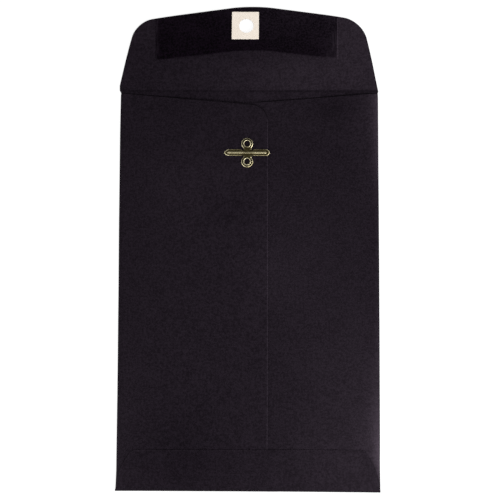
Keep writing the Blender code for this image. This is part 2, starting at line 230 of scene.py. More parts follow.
def fibre_relief(specks, fibres, strength):
    """Fine tooth of paper or card, or of what has dried on it."""
    return relief(0.6 * specks + 0.4 * fibres, strength, FIBRE_DEPTH)


def paper_grain(place):
    """Fibre mottle of the black paper: fine specks, short fibres both ways and slow clouds."""
    specks = grain(place, 1000.0, 4.0)
    across = grain(place, 800.0, 3.0, stretch=(0.45, 1.0, 1.0))
    along = grain(place, 800.0, 3.0, stretch=(1.0, 0.45, 1.0))
    clouds = grain(place, 90.0, 3.0)
    return specks, 0.5 * across + 0.5 * along, clouds


def paper_with_painted_light(place, specks, fibres, clouds):
    """Paper's mottled colour, paler where the piece carries painted light: painted sheen and light
    falloff.
    """
    mottle = (0.5 * specks + 0.4 * fibres + 0.1 * clouds).clear(0.39, 0.61)
    return carried(place, "shine").blend(mottle.blend(*PAPER_TONES), mottle.blend(*PAINTED_LIGHT_TONES))


def black_paper_finish():
    """Black paper, paler where sheen and light are painted on and darker where shade is painted.
    """
    material, shader, place = new_finish("black_paper")
    specks, fibres, clouds = paper_grain(place)
    colour = paper_with_painted_light(place, specks, fibres, clouds)
    feed(shader, {
        # Painted shade along the score, the throat's cut edges and the folds.
        "Base Color": carried(place, "cut").blend(colour, PAINTED_SHADE_TONE),
        "Roughness": PAPER_ROUGHNESS + 0.1 * specks,
        "Specular IOR Level": 0.03,
        "Normal": fibre_relief(specks, fibres, PAPER_TOOTH),
    })
    return material


def cut_edge_finish():
    """Fuzzy cut edge of the same paper."""
    material, shader, place = new_finish("cut_paper_edge")
    feed(shader, {
        "Base Color": grain(place, 2600.0, 3.0).blend(*CUT_EDGE_TONES),
        "Roughness": 0.85,
        "Specular IOR Level": 0.2,
    })
    return material


black_paper = black_paper_finish()
cut_paper_edge = cut_edge_finish()


def cut_sheet(corners, segments=12):
    """Flat sheet of one face from (x, y, set-back) corners, rounded from the set-back on."""
    sheet = bmesh.new()
    points = [sheet.verts.new((x * MM, y * MM, 0)) for x, y, _ in corners]
    sheet.faces.new(points)
    for point, (_, _, setback) in zip(points, corners):
        if setback:
            bmesh.ops.bevel(
                sheet, geom=[point], affect="VERTICES", offset=setback * MM, offset_type="OFFSET",
                segments=segments, profile=0.5, material=-1,
            )
    return sheet


def rule(sheet, xs, ys):
    """Divides a sheet along straight lines, so that it can be bent there."""
    for axis, places in ((Vector((1, 0, 0)), xs), (Vector((0, 1, 0)), ys)):
        for place in places:
            bmesh.ops.bisect_plane(
                sheet, geom=sheet.verts[:] + sheet.edges[:] + sheet.faces[:], dist=TOUCHING,
                plane_co=axis * place * MM, plane_no=axis,
            )


def steps(first, last, count):
    """Evenly spaced places, ends included."""
    return [first + (last - first) * index / count for index in range(count + 1)]


def round_hole(places, centre, half):
    """Ruling that keeps clear of a square round a hole, and divides its sides in eight."""
    outside = [place for place in places if abs(place - centre) > half]
    return outside + steps(centre - half, centre + half, 8)


def hole_lines(places, axis):
    """Ruling for the clasp's hole across, axis 0, or along, axis 1."""
    return round_hole(places, HOLE_CENTRE[axis], HOLE_SQUARE)


def picked(geometry, kind):
    """Vertices or edges out of what an operator has made."""
    return [item for item in geometry if isinstance(item, kind)]


def punch(sheet, centre, half, radius):
    """Takes a ruled square out of a sheet and closes it in to a round hole."""
    middle = Vector((centre[0] * MM, centre[1] * MM, 0))

    def within(point, reach):
        return max(abs(offset) for offset in (point - middle)[:2]) < reach * MM

    inside = [face for face in sheet.faces if within(face.calc_center_median(), half)]
    bmesh.ops.delete(sheet, geom=inside, context="FACES")
    square = [
        edge for edge in sheet.edges
        if edge.is_boundary and all(within(vert.co, half + 0.05) for vert in edge.verts)
    ]
    rim = bmesh.ops.extrude_edge_only(sheet, edges=square)["geom"]
    for vert in picked(rim, bmesh.types.BMVert):
        vert.co = middle + (vert.co - middle).normalized() * radius * MM


def new_marks(sheet, *names):
    """Values that a sheet's points carry, for the finish to read."""
    return [sheet.verts.layers.float.new(name) for name in names]


def smooth_step(share):
    """0 to 1 with level ends."""
    share = min(1.0, max(0.0, share))
    return share * share * (3 - 2 * share)


def hill(x, y, centre_x, centre_y, spread_x, spread_y):
    """Round hill of height 1."""
    return math.exp(-((x - centre_x) / spread_x) ** 2 - ((y - centre_y) / spread_y) ** 2)


def between(stops, place):
    """Smooth run through (place, value) stops, level at both ends."""
    for (low, low_value), (high, high_value) in zip(stops, stops[1:]):
        if place < high:
            share = smooth_step((place - low) / (high - low))
            return low_value + (high_value - low_value) * share
    return stops[-1][1]


def placed(points):
    """Each point with its place across and along in millimetres."""
    for point in points:
        yield point, point.co.x / MM, point.co.y / MM


def trim(sheet):
    """The folded pocket isn't quite square: its sides wander and its lower corners flare."""
    for vert, x, y in placed(sheet.verts):
        left, right = between(LEFT_TRIM, y), between(RIGHT_TRIM, y)
        across = left + (right - left) * (x / HALF_WIDTH + 1) / 2
        flare = FOOT_FLARE + CORNER_FLARE * (x / HALF_WIDTH) ** 2
        vert.co.x += across * smooth_step((CREASE_Y - y) / 0.8) * MM
        vert.co.y -= flare * smooth_step((BOTTOM_Y + FLARE_LENGTH - y) / FLARE_LENGTH) * MM


def new_piece(name, surface, finishes):
    """Object at the origin with a finished surface for its mesh."""
    bmesh.ops.recalc_face_normals(surface, faces=surface.faces)
    mesh = bpy.data.meshes.new(name)
    surface.to_mesh(mesh)
    surface.free()
    for finish in finishes:
        mesh.materials.append(finish)
    piece = bpy.data.objects.new(name, mesh)
    bpy.context.scene.collection.objects.link(piece)
    return piece


def settle(piece):
    """Applies a piece's modifiers and smooths its faces between its sharp edges."""
    evaluated = piece.evaluated_get(bpy.context.evaluated_depsgraph_get())
    mesh = bpy.data.meshes.new_from_object(evaluated)
    old = piece.data
    piece.modifiers.clear()
    piece.data = mesh
    bpy.data.meshes.remove(old)
    mesh.name = piece.name
    mesh.polygons.foreach_set("use_smooth", [True] * len(mesh.polygons))
    mesh.set_sharp_from_angle(angle=SHARP_ANGLE)
    return piece


def sheet_piece(name, sheet, thickness=PAPER, finishes=(black_paper, cut_paper_edge)):
    """Piece from a sheet's middle surface, given its thickness; cut edges take the last finish."""
    piece = new_piece(name, sheet, finishes)
    wall = piece.modifiers.new("thickness", "SOLIDIFY")
    wall.thickness = thickness * MM
    wall.offset = 0.0
    wall.material_offset_rim = len(finishes) - 1
    return settle(piece)


def flap_height(x, y):
    """Curl of the open flap above the table: it springs up a little from its crease."""
    reach = max(0.0, y - CREASE_Y)
    return FLAP_CURL * smooth_step(reach / 26) + FLAP_WAVE * hill(x, reach, 22, 18, 34, 16)


def score_height(y):
    """Small step of the scored crease: the panel stands up beside it and the flap doesn't."""
    below = max(0.0, CREASE_Y - y)
    step = SCORE_STEP * (1 - math.exp(-((below / SCORE_WIDTH) ** 2)))
    return step * math.exp(-((below / SCORE_FADE) ** 2))


def from_eyelets(x, y):
    """Distance from the line that joins the middles of the clasp's eyelets."""
    return math.hypot(x - EYELET_X, max(0.0, abs(y - CLASP_Y) - EYELET_OFFSET))


def front_height(x, y):
    """Height of the run's middle surface above the table."""
    lifted = CLASP_LIFT * (1 - smooth_step((from_eyelets(x, y) - 3) / 9))
    return PAPER / 2 + flap_height(x, y) + score_height(y) + lifted


def flap_painted_light(x, reach):
    """Painted light on the open flap: it grows to the right and towards the free corners."""
    lightness = 0.03 + 0.48 * smooth_step((x + 60) / 105) - 0.19 * hill(x, reach, 10, 22.5, 45, 8)
    lightness += 0.14 * smooth_step((x - 44) / 10) * smooth_step((reach - 10) / 16)
    return lightness + 0.12 * smooth_step((-46 - x) / 8) * smooth_step((reach - 22) / 10)


def front_painted_light(x, y):
    """Painted light on the whole run: the strip below the score, the flap and the paper seen down
    the eyelets' bores.
    """
    reach = y - CREASE_Y
    # Painted light: the strip below the score is paler towards the right.
    strip = 0.16 * smooth_step((x + 40) / 40)
    past_score = smooth_step((reach - 0.5 - 0.2 * x / HALF_WIDTH) / 0.5)
    # Painted light down the eyelets' bores.
    brightened = BORE_PAINTED_LIGHT * (1 - smooth_step((from_eyelets(x, y) - 2.5) / 2))
    return strip + (flap_painted_light(x, reach) - strip) * past_score + brightened


def score_shade(x, y):
    """Painted shade along the score, stronger at the right."""
    line = math.exp(-((y - CREASE_Y - 0.3) / 0.35) ** 2)
    return (0.12 + 0.2 * smooth_step((x - 20) / 30)) * line


front_half = HALF_WIDTH - SIDE_LIP
front_sheet = cut_sheet([
    (-front_half, BOTTOM_Y + BOTTOM_LIP, 0),
    (front_half, BOTTOM_Y + BOTTOM_LIP, 0),
    (front_half, CREASE_Y - RIGHT_DROP, 0),
    (HALF_WIDTH, CREASE_Y - RIGHT_DROP, 0),
    *FLAP_OUTLINE,
    (-HALF_WIDTH, CREASE_Y - LEFT_DROP, 0),
    (-front_half, CREASE_Y - LEFT_DROP, 0),
])
panel_lines = steps(BOTTOM_Y + 10, CLASP_Y - 20, 10) + steps(CLASP_Y - 17, CREASE_Y - 2, 34)
crease_offsets = (-0.9, -0.6, -0.3, 0, 0.3, 0.6, 0.9, 1.3, 1.8, 2.4, 3.2)
crease_lines = [CREASE_Y + offset for offset in crease_offsets]
flap_lines = steps(CREASE_Y + 6, CREASE_Y + 48, 14)
rule(
    front_sheet,
    hole_lines(steps(-72, 72, 36), 0),
    panel_lines + crease_lines + hole_lines(flap_lines, 1),
)
punch(front_sheet, HOLE_CENTRE, HOLE_SQUARE, HOLE_RADIUS)
shine, cut = new_marks(front_sheet, "shine", "cut")
for vert, x, y in placed(front_sheet.verts):
    vert.co.z = front_height(x, y) * MM
    vert[shine] = front_painted_light(x, y)
    vert[cut] = score_shade(x, y)
trim(front_sheet)
front_and_flap = sheet_piece("front_and_flap", front_sheet)
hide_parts("front_panel", "closure_flap")
(CREASE_Y - 0.6) * MM
(CREASE_Y + 2.5) * MM
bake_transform(front_and_flap)


# Side panels
# The pocket's back is two panels of the same paper, turned in over the front along the side
# creases and punched for the clasp's eyelets. The left one is gummed over the right one, and both
# dip to a shallow throat at the top.
CREASE_RADIUS = 0.2
SEAM_X = 11.0
SEAM_OVERLAP = 23.5
LEFT_THROAT_SLOPE = math.tan(math.radians(5.0))
RIGHT_THROAT_SLOPE = math.tan(math.radians(4.5))
SEAM_CORNER_SETBACK = 9.2
PANEL_BOTTOM_Y = BOTTOM_Y + 1.6
RIGHT_LEVEL = 1.055
LEFT_LEVEL = 1.485
CREASE_TOP = PAPER / 2 + 2 * CREASE_RADIUS
EDGE_DROOP, EDGE_DROOP_WIDTH = 0.18, 0.55
EDGE_MARGINS = (0.18, 0.18, 0.2)
MOUTH_SAG = 0.5
SEAM_LIFT = 0.25
FOLD_X = HALF_WIDTH - PAPER / 2 - CREASE_RADIUS
EYELET_HOLE = 2.0
EYELET_SQUARE = 3.0
# Places along Y, and how far in from a side crease the paper takes to rise to its level.
LEFT_FOLD = ((-136, 1.6), (-110, 5.0), (-60, 3.5), (30, 3.0), (80, 2.5))
RIGHT_FOLD = (
    (-136, 1.2), (-124, 4.0), (-105, 9.0), (-86, 7.0),
    (-64, 3.0), (10, 2.5), (50, 5.0), (80, 8.0),
)
# Places along Y, and the painted sheen of the right fold and of its outermost rim.
FOLD_PAINTED_SHEEN = (
    (-136, 0.45), (-118, 1.15), (-70, 0.15), (20, 0.03), (48, 0.42), (72, 0.8), (84, 0.9),
)
RIM_PAINTED_SHEEN = (
    (-118, 0.6), (-108, 0.6), (-98, 0.2), (-88, 0), (30, 0), (54, 0.6), (70, 0.6), (82, 1.2),
)


def pocket_swell(x, y):
    """Slight fullness of the pocket, which lies flatter halfway along its side folds."""
    full = 1.1 * hill(x, y, 60, -106, 22, 24) + 0.6 * hill(x, y, 62, 68, 15, 28)
    full += 0.2 * hill(x, y, -35, -60, 34, 60)
    flat = 0.3 * hill(x, y, 72, -8, 34, 46) + 0.2 * hill(x, y, -72, 0, 24, 70)
    return full * smooth_step((y - PANEL_BOTTOM_Y) / 20) - flat


def pocket_painted_light(x, y):
    """Painted sheen and shade on the pocket's back: paler most in the middle and at the lower
    right.
    """
    lower = 0.04 + 0.06 * smooth_step((-20 - y) / 80) - 0.2 * hill(x, y, -37, -116, 24, 29)
    corner = 0.3 * smooth_step((x - 8) / 58) * smooth_step((-5 - y) / 90)
    corner += 0.14 * hill(x, y, 40, -118, 15, 16) + 0.05 * hill(x, y, 50, -85, 20, 20)
    middle = 0.19 * hill(x, y, 24, -10, 34, 42) + 0.09 * hill(x, y, 11, -17, 13, 13)
    middle += 0.18 * hill(x, y, -34, 34, 30, 24)
    middle += 0.08 * hill(x, y, -45, -20, 30, 40) - 0.16 * hill(x, y, -15, 21, 15, 11)
    throat = 0.12 * smooth_step((y - 58) / 16) * smooth_step((x + 30) / 30)
    throat -= 0.2 * hill(x, y, 46, 81, 16, 9)
    left = 0.14 * math.exp((-x - HALF_WIDTH) / 12) * smooth_step((-y - 20) / 70)
    return max(-0.15, lower + corner + middle + throat + left)


def fold_painted_sheen(x, y):
    """Painted sheen along the side folds, fading from each fold inwards."""
    right = between(FOLD_PAINTED_SHEEN, y) * math.exp((x - HALF_WIDTH) / 5)
    rim = between(RIM_PAINTED_SHEEN, y) * math.exp((x - HALF_WIDTH) / 1.2)
    left = (0.17 + 0.3 * smooth_step((-90 - y) / 20)) * math.exp((-x - HALF_WIDTH) / 1.5)
    return right + rim + left


def throat_y(side, x):
    """Top edge of a side panel, which falls from its crease towards the centre."""
    drop, slope = RIGHT_DROP, RIGHT_THROAT_SLOPE
    if side < 0:
        drop, slope = LEFT_DROP, LEFT_THROAT_SLOPE
    return CREASE_Y - drop - (HALF_WIDTH - side * x) * slope


def panel_height(side, x, y):
    """Height of a side panel's middle surface above the table."""
    level = RIGHT_LEVEL
    if side < 0:
        level += (LEFT_LEVEL - RIGHT_LEVEL) * smooth_step((x + 70) / 54)
    sag = MOUTH_SAG * smooth_step((y - throat_y(side, x) + 20) / 20)
    pinch = 1 - 0.3 * math.exp(-(y - PANEL_BOTTOM_Y) / 4)
    rise = (level + pocket_swell(x, y) - CREASE_TOP) * pinch - sag
    fold_width = between(RIGHT_FOLD if side > 0 else LEFT_FOLD, y)
    share = max(0.0, 1 - (FOLD_X - side * x) / fold_width)
    return CREASE_TOP + rise * (1 - share ** 2)


def seam_lift(x, y):
    """How far the left panel stands off the right one at the throat, above the end of the gum."""
    return SEAM_LIFT * (1 - smooth_step((62 - y) / 14)) * hill(x, y, SEAM_X, 78, 18, 14)


def panel_marks(side, x, y, from_edge):
    """Painted light on a side panel, and the painted shade along its cut edge and its turning."""
    lightness = pocket_painted_light(x, y) + fold_painted_sheen(x, y)
    # Painted shadow along the panel's free cut edge at the throat.
    edge_amount = smooth_step((0.56 - from_edge) / 0.4) * smooth_step((y - 71) / 5)
    if side > 0:
        # Painted shade on the right panel's turning, low on the fold.
        turning = 0.6 * smooth_step((x - FOLD_X + 0.4) / 0.4) * smooth_step((40 - y) / 30)
        return lightness, max(edge_amount * smooth_step(x / 7), turning)
    # Painted highlight along the left panel's cut edge at the seam.
    brightened = 0.26 + 0.14 * smooth_step((y + 50) / 30)
    lightness += brightened * smooth_step((0.5 - from_edge) / 0.45) * smooth_step((77 - y) / 5)
    return lightness, edge_amount * (1 - 0.55 * hill(x, y, -14, 84, 20, 50))


def lies_at(edge, axis, place):
    """Whether an edge lies on the line where an axis, 0 for X or 1 for Y, has a given value."""
    return all(abs(vert.co[axis] - place * MM) < TOUCHING for vert in edge.verts)


def edge_ends(edges):
    """Both ends of some edges, kept for measuring once the sheet is ruled and bent."""
    return [(edge.verts[0].co.copy(), edge.verts[1].co.copy()) for edge in edges]


def edge_distance(point, edges):
    """Distance in millimetres from a point to the nearest of some straight edges."""
    near = []
    for first, last in edges:
        run = last - first
        share = min(1.0, max(0.0, (point - first).dot(run) / run.length_squared))
        near.append((point - first - run * share).length / MM)
    return min(near)


def turn_under(sheet, axis, place, centre, turn_axis, angle, stages, lip):
    """Rolls the edge of a sheet that lies on a line round under it, and runs it on by a lip."""
    edges = [edge for edge in sheet.edges if edge.is_boundary and lies_at(edge, axis, place)]
    rolled = bmesh.ops.spin(
        sheet, geom=edges, cent=centre, axis=turn_axis, angle=angle, steps=stages,
    )["geom_last"]
    under = bmesh.ops.extrude_edge_only(sheet, edges=picked(rolled, bmesh.types.BMEdge))["geom"]
    bmesh.ops.translate(sheet, verts=picked(under, bmesh.types.BMVert), vec=lip)


def side_panel(name, side, free_x, nodes):
    """Panel from its free edge to the lip under its fold; side is 1 right and -1 left."""
    sheet = cut_sheet([
        (side * FOLD_X, PANEL_BOTTOM_Y, 0),
        (free_x, PANEL_BOTTOM_Y, 0),
        (free_x, throat_y(side, free_x), SEAM_CORNER_SETBACK),
        (side * FOLD_X, throat_y(side, side * FOLD_X), 0),
    ])
    free_edges = edge_ends(
        edge for edge in sheet.edges
        if not lies_at(edge, 1, PANEL_BOTTOM_Y) and not lies_at(edge, 0, side * FOLD_X)
    )
    for margin in EDGE_MARGINS:
        bmesh.ops.inset_region(
            sheet, faces=[max(sheet.faces, key=lambda face: face.calc_area())],
            thickness=margin * MM, use_boundary=True, use_even_offset=True,
        )
    near_fold = (0.15, 0.35, 0.6, 0.9, 1.3, 1.8, 2.4, 3.1, 4.0, 5.0, 6.2, 7.6, 9.2, 11.0)
    xs = [side * (FOLD_X - offset) for offset in near_fold]
    xs += [free_x + side * offset for offset in (1.2, 2.0)]
    xs += steps(side * (FOLD_X - 14), free_x + side * 5, 20)
    ys = steps(PANEL_BOTTOM_Y, PANEL_BOTTOM_Y + 24, 10)[1:]
    ys += steps(PANEL_BOTTOM_Y + 28, CREASE_Y - 4, 56)
    eyelet_ys = (CLASP_Y - EYELET_OFFSET, CLASP_Y + EYELET_OFFSET)
    for eyelet_y in eyelet_ys:
        ys = round_hole(ys, eyelet_y, EYELET_SQUARE)
    rule(sheet, round_hole(xs, EYELET_X, EYELET_SQUARE), ys)
    for eyelet_y in eyelet_ys:
        punch(sheet, (EYELET_X, eyelet_y), EYELET_SQUARE, EYELET_HOLE)
    shine, cut = new_marks(sheet, "shine", "cut")
    for vert, x, y in placed(sheet.verts):
        from_edge = edge_distance(vert.co, free_edges)
        vert[shine], vert[cut] = panel_marks(side, x, y, from_edge)
        z = panel_height(side, x, y)
        if side < 0:
            z += seam_lift(x, y)
        drooped = EDGE_DROOP * max(0.0, 1 - from_edge / EDGE_DROOP_WIDTH) ** 2
        vert.co.z = (z - drooped) * MM
    lip = SIDE_LIP - (HALF_WIDTH - FOLD_X)
    turn_under(
        sheet, 0, side * FOLD_X,
        centre=(side * FOLD_X * MM, 0, (PAPER / 2 + CREASE_RADIUS) * MM), turn_axis=(0, 1, 0),
        angle=side * math.pi, stages=8, lip=(-side * lip * MM, 0, 0),
    )
    trim(sheet)
    piece = sheet_piece(name, sheet)
    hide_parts(*nodes)
    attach(piece, "envelope")


side_panel(
    "right_side_panel", 1, SEAM_X - SEAM_OVERLAP, ("right_side_fold", "right_back_panel"),
)
side_panel("left_side_panel", -1, SEAM_X, ("left_side_fold", "left_back_panel"))


# Bottom turn-up
# The lower end of the same paper, turned up over both side panels and gummed down. Its sides
# taper in to round corners, so the panels' folds show beside it.
BOTTOM_FOLD_RADIUS = 0.915
TURN_UP_LEVEL = PAPER / 2 + 2 * BOTTOM_FOLD_RADIUS
TURN_UP_Y = BOTTOM_Y + 23.15
TURN_UP_SKEW = 0.4026
TURN_UP_FLAT = HALF_WIDTH - 9.0
TURN_UP_GAP = 0.25
TURN_UP_ROUND = 2.5
EDGE_PRESS = 0.23
SEAM_PRESS = 0.8
LIP_TOP = 1.0
FOLD_CENTRE_Y = BOTTOM_Y + BOTTOM_FOLD_RADIUS + PAPER / 2


def seam_step(x):
    """How far the turn-up still stands above the right panel, past the left panel's edge."""
    return (LEFT_LEVEL - RIGHT_LEVEL) * smooth_step((SEAM_X + 8 - x) / 7)


def turn_up_height(x, y):
    """Height of the turn-up's middle: it lies on the side panels, but is flat at their folds."""
    y = max(y, PANEL_BOTTOM_Y)
    past = max(0.0, abs(x) - TURN_UP_FLAT)
    x = math.copysign(abs(x) - 0.75 * past, x)
    if x < SEAM_X:
        return panel_height(-1, x, y) + PAPER + TURN_UP_GAP
    return panel_height(1, x, y) + seam_step(x) + PAPER + TURN_UP_GAP


def turn_up_press(x, y, from_edge):
    """How far the turn-up's free edge is pressed down, most just right of the seam."""
    edge_amount = EDGE_PRESS * smooth_step(1 - from_edge / 2.0) * smooth_step((y - FOLD_CENTRE_Y) / 3)
    if x > SEAM_X + 0.5:
        edge_amount += SEAM_PRESS * seam_step(x) * smooth_step(1 - (TURN_UP_Y - y) / 1.6)
    return edge_amount


def turn_up_painted_light(x, y, from_edge):
    """Painted light on the turn-up: painted highlights along its edges and painted shade at its
    right end.
    """
    brightened = 0.16 * smooth_step(1.2 - (TURN_UP_Y - y) / 2.0) * smooth_step((66 - abs(x)) / 6)
    tapered = smooth_step((-58 - x) / 5) * smooth_step((y - FOLD_CENTRE_Y - 3) / 3)
    brightened += 0.24 * smooth_step(1.1 - from_edge / 2.2) * tapered
    brightened += 0.3 * math.exp((-x - HALF_WIDTH) / 1.5)
    shaded = 0.45 * smooth_step((x - 62) / 8) * smooth_step((y - BOTTOM_Y - 9) / 6)
    return (0.87 - shaded) * pocket_painted_light(x, y) - 0.02 + brightened


turn_up = cut_sheet([
    (-HALF_WIDTH + 0.1, FOLD_CENTRE_Y, 0),
    (HALF_WIDTH - 0.1, FOLD_CENTRE_Y, 0),
    (HALF_WIDTH - 0.7, BOTTOM_Y + 7.0, TURN_UP_ROUND),
    (HALF_WIDTH - 3.0, BOTTOM_Y + 14.0, TURN_UP_ROUND),
    (HALF_WIDTH - 8.8, TURN_UP_Y + TURN_UP_SKEW, TURN_UP_ROUND),
    (-HALF_WIDTH + 8.8, TURN_UP_Y - TURN_UP_SKEW, TURN_UP_ROUND),
    (-HALF_WIDTH + 3.0, BOTTOM_Y + 14.0, TURN_UP_ROUND),
    (-HALF_WIDTH + 0.7, BOTTOM_Y + 7.0, TURN_UP_ROUND),
])
free_edges = edge_ends(edge for edge in turn_up.edges if not lies_at(edge, 1, FOLD_CENTRE_Y))
side_offsets = (0.3, 0.7, 1.2, 1.8, 2.5, 3.4, 4.4, 5.6, 7.0, 8.6, 10.4)
side_lines = [side * (HALF_WIDTH - offset) for side in (-1, 1) for offset in side_offsets]
fold_lines = [FOLD_CENTRE_Y + offset for offset in (0.4, 1.0, 1.8, 2.8, 4.0, 5.5)]
middle_lines = steps(FOLD_CENTRE_Y + 7, TURN_UP_Y - 2.2, 10)
top_lines = steps(TURN_UP_Y - 1.8, TURN_UP_Y + 0.2, 8)
rule(turn_up, side_lines + steps(-62, 62, 40), fold_lines + middle_lines + top_lines)
for vert in turn_up.verts:
    vert.co.z = TURN_UP_LEVEL * MM
turn_under(
    turn_up, 1, FOLD_CENTRE_Y,
    centre=(0, FOLD_CENTRE_Y * MM, (PAPER / 2 + BOTTOM_FOLD_RADIUS) * MM), turn_axis=(1, 0, 0),
    angle=math.pi, stages=10, lip=(0, (BOTTOM_Y + BOTTOM_LIP - FOLD_CENTRE_Y) * MM, 0),
)
shine, cut = new_marks(turn_up, "shine", "cut")
for vert in turn_up.verts:
    x, y, z = vert.co / MM
    from_edge = edge_distance(Vector((vert.co.x, vert.co.y, 0)), free_edges)
    vert[shine] = turn_up_painted_light(x, y, from_edge)
    # Painted shade on the underside of the bottom fold.
    vert[cut] = 0.7 * smooth_step((FOLD_CENTRE_Y - y) / 0.7)
    scale = (turn_up_height(x, y) - PAPER / 2) / (2 * BOTTOM_FOLD_RADIUS)
    edge_amount = turn_up_press(x, y, from_edge) if z > LIP_TOP else 0.0
    vert.co.z = (PAPER / 2 + (z - PAPER / 2) * scale - edge_amount) * MM
trim(turn_up)
bottom_turn_up = sheet_piece("bottom_turn_up", turn_up)
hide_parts("bottom_fold", "bottom_flap")
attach(bottom_turn_up, "envelope")


# Hidden gum
# Two thin films of dried gum hold the pocket together: one in the overlap of the side panels,
# beside the clasp, and one under the turn-up. They only show at the paper's edges.
GUM_FILM = 0.06
GUM_TONES = ((0.0011, 0.0007, 0.0012), (0.0050, 0.0025, 0.0056))
GUM_SMOOTHING = 0.1
GUM_SPECULAR = 0.02
GUM_TOOTH = 0.3
BOTTOM_GUM_DEPTH = 0.11
BOTTOM_GUM_TAPER = 8.4
BOTTOM_GUM_SHOULDER = BOTTOM_Y + 9
BOTTOM_GUM_ROUND = 3.0


def gum_mottle(specks, clouds):
    """Share of the lighter of two tones in dried gum."""
    return (0.75 * specks + 0.25 * clouds).clear(0.38, 0.62)


def hidden_gum_finish():
    """Dark gum, smoother than the paper."""
    material, shader, place = new_finish("hidden_gum")
    specks, fibres, clouds = paper_grain(place)
    feed(shader, {
        "Base Color": gum_mottle(specks, clouds).blend(*GUM_TONES),
        "Roughness": PAPER_ROUGHNESS - GUM_SMOOTHING + 0.1 * specks,
        "Specular IOR Level": GUM_SPECULAR,
        "Normal": fibre_relief(specks, fibres, GUM_TOOTH),
    })
    return material


def gum_film(name, sheet, height, node, finish):
    """Thin film from its ruled sheet, laid at the height of what it sticks to."""
    for vert, x, y in placed(sheet.verts):
        vert.co.z = height(x, y) * MM
    trim(sheet)
    film = sheet_piece(name, sheet, GUM_FILM, (finish,))
    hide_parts(node)
    return film


def seam_gum_height(x, y):
    """Halfway between the two side panels."""
    return (panel_height(1, x, y) + panel_height(-1, x, y)) / 2


def bottom_gum_height(x, y):
    """Just under the turn-up."""
    return turn_up_height(x, y) - PAPER / 2 - BOTTOM_GUM_DEPTH


hidden_gum = hidden_gum_finish()
seam_low, seam_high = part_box("seam_gum")
seam_left, seam_right = seam_low.x / MM, seam_high.x / MM
seam_foot, seam_top = seam_low.y / MM, seam_high.y / MM
seam_sheet = cut_sheet([
    (seam_left, seam_foot, 0),
    (seam_right, seam_foot, 0),
    (seam_right, seam_top, 0),
    (seam_left, seam_top, 0),
])
rule(seam_sheet, steps(seam_left, seam_right, 4), steps(seam_foot, seam_top, 70))
seam_film = gum_film("seam_gum_film", seam_sheet, seam_gum_height, "seam_gum", hidden_gum)
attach(seam_film, "envelope")

bottom_low, bottom_high = (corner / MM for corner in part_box("bottom_gum"))
bottom_sheet = cut_sheet([
    (bottom_low.x, bottom_low.y, 0),
    (bottom_high.x, bottom_low.y, 0),
    (bottom_high.x, BOTTOM_GUM_SHOULDER, BOTTOM_GUM_ROUND),
    (bottom_high.x - BOTTOM_GUM_TAPER, bottom_high.y, BOTTOM_GUM_ROUND),
    (bottom_low.x + BOTTOM_GUM_TAPER, bottom_high.y, BOTTOM_GUM_ROUND),
    (bottom_low.x, BOTTOM_GUM_SHOULDER, BOTTOM_GUM_ROUND),
])
rule(
    bottom_sheet, steps(bottom_low.x, bottom_high.x, 72), steps(bottom_low.y, bottom_high.y, 10),
)
bottom_film = gum_film(
    "bottom_gum_film", bottom_sheet, bottom_gum_height, "bottom_gum", hidden_gum,
)
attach(bottom_film, "envelope")


# Closure gum
# The strip of gum along the flap's top edge, brushed on and dried. It is darker and smoother than
# the paper, thins out raggedly along its lower edge and at both square ends, and has a fine bead
# at the right end, where the brush lifted off.
GUM_LEFT, GUM_RIGHT = -55.05, 51.75
GUM_DEPTH = 26.8
GUM_MARGIN = 0.45
GUM_TOP = (0.137, 0.1295)
GUM_FOOT = (0.113, 0.106)
GUM_GAP = 0.01
GUM_BEAD = 0.05
# Painted highlight on the end bead, and the gum's tones under painted light.
BEAD_PAINTED_HIGHLIGHT = 1.5
GUM_PAINTED_LIGHT_TONES = ((0.0038, 0.0022, 0.0042), (0.0132, 0.0094, 0.0142))


def closure_gum_finish():
    """Gum over bare paper: its cover is the strip's own spread, broken up by short streaks."""
    material, shader, place = new_finish("closure_gum")
    specks, fibres, clouds = paper_grain(place)
    bare = paper_with_painted_light(place, specks, fibres, clouds)
    mottle = gum_mottle(specks, clouds)
    # Painted light pales the gum towards its top and right, with a painted highlight on its bead.
    gum = carried(place, "shine").blend(mottle.blend(*GUM_TONES), mottle.blend(*GUM_PAINTED_LIGHT_TONES))
    streaks = grain(place, 600.0, 3.0, stretch=(2.0, 0.3, 1.0))
    spread = carried(place, "spread") + (streaks - 0.5) + 0.6 * (specks - 0.5)
    cover = spread.clear(0.25, 0.7)
    feed(shader, {
        "Base Color": cover.blend(bare, gum),
        "Roughness": PAPER_ROUGHNESS - GUM_SMOOTHING * cover + 0.1 * specks,
        "Specular IOR Level": GUM_SPECULAR,
        "Normal": fibre_relief(specks, fibres, GUM_TOOTH),
    })
    return material


def gable_y(x, drop, slopes):
    """Line below the flap's peak that falls by the left and right slopes."""
    return FLAP_PEAK[1] - drop - abs(x - FLAP_PEAK[0]) * slopes[x > FLAP_PEAK[0]]


def above_foot(x, y):
    """Height above the strip's lower edge, which is rounded below the peak."""
    inwards = max(0.0, 1 - abs(x - FLAP_PEAK[0]) / FLAP_PEAK_SETBACK)
    rounding = inwards ** 2 * FLAP_PEAK_SETBACK * GUM_FOOT[0] / 2
    return y - gable_y(x, GUM_DEPTH, GUM_FOOT) + rounding


def end_bead(x):
    """1 on the bead at the strip's right end, 0 elsewhere."""
    return smooth_step((x - GUM_RIGHT + 0.75) / 0.35)


def closure_gum_height(x, y):
    """Height of the strip's middle on the open flap."""
    return PAPER + GUM_FILM / 2 + GUM_GAP + GUM_BEAD * end_bead(x) + flap_height(x, y)


